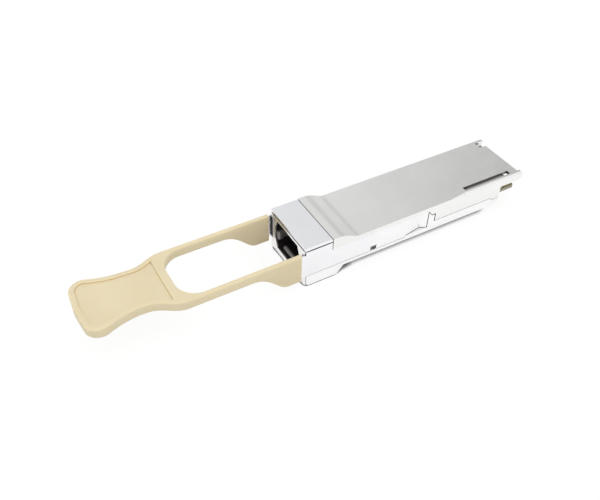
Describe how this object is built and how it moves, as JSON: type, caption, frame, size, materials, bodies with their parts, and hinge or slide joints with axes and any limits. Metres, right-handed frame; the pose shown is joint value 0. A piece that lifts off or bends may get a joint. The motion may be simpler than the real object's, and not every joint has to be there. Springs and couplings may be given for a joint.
{
  "type": "optical transceiver module",
  "caption": "Pluggable fibre-optic transceiver with a flat heat-sink face, a rear card edge, a fibre port in the nose and a sprung pull tab that slides to release it.",
  "frame": {"origin": "on the flat underside of the part that goes into the cage, midway between the sides, at the cage's front plane", "axes": "+X into the cage towards the card edge, +Y to the left seen from the fibre port with the heat-sink face up, +Z out of the heat-sink face"},
  "size_m": [0.128, 0.0188, 0.013],
  "materials": {
    "cast_shell": "satin nickel plate on die-cast zinc",
    "cover": "brushed nickel plate",
    "cap": "fine satin nickel plate",
    "tab": "beige elastomer, fine matt grain",
    "slide": "bright rolled stainless sheet",
    "spring": "drawn spring wire",
    "receptacle": "black glass-filled moulding",
    "hooks": "dark grey moulding",
    "ferrule": "dark thermoset",
    "pins": "ground stainless",
    "clamp": "stamped stainless",
    "ribbon": "coated fibre ribbon",
    "gasket": "conductive foam",
    "lens": "amber polyetherimide",
    "die": "polished semiconductor",
    "chip": "moulded epoxy",
    "inductor": "pressed ferrite",
    "capacitor": "fired ceramic with tinned ends",
    "board": "solder mask over glass epoxy",
    "gold": "hard gold plate",
    "pad": "soft silicone gap filler",
    "absorber": "filled silicone absorber",
    "screw": "zinc-plated steel"
  },
  "bodies": {
    "housing": {"base_shell": "cast_shell", "top_shell": "cover", "nose_cap": "cap", "return_spring_near": "spring", "return_spring_far": "spring", "mpo_receptacle": "receptacle", "plug_hooks": "hooks", "mt_ferrule": "ferrule", "guide_pins": "pins", "pin_clamp": "clamp", "fibre_ribbon": "ribbon", "emi_gasket": "gasket", "lens_block": "lens", "vcsel_array": "die", "photodiode_array": "die", "laser_driver": "die", "receiver_amplifier": "die", "clock_recovery_chips": "chip", "microcontroller": "chip", "memory_chip": "chip", "power_inductors": "inductor", "ceramic_capacitors": "capacitor", "circuit_board": "board", "edge_contacts_top": "gold", "edge_contacts_bottom": "gold", "thermal_pad": "pad", "absorber_strips": "absorber", "housing_screws": "screw"},
    "slide": {"latch_slide": "slide", "pull_tab": "tab"}
  },
  "joints": [
    {"name": "tab_pull", "type": "slide", "parent": "housing", "child": "slide", "axis": [-1, 0, 0], "range_m": [0, 0.0025], "stiffness_N_per_m": 900, "springref_m": -0.002, "deforming": ["return_spring_near", "return_spring_far"]}
  ]
}
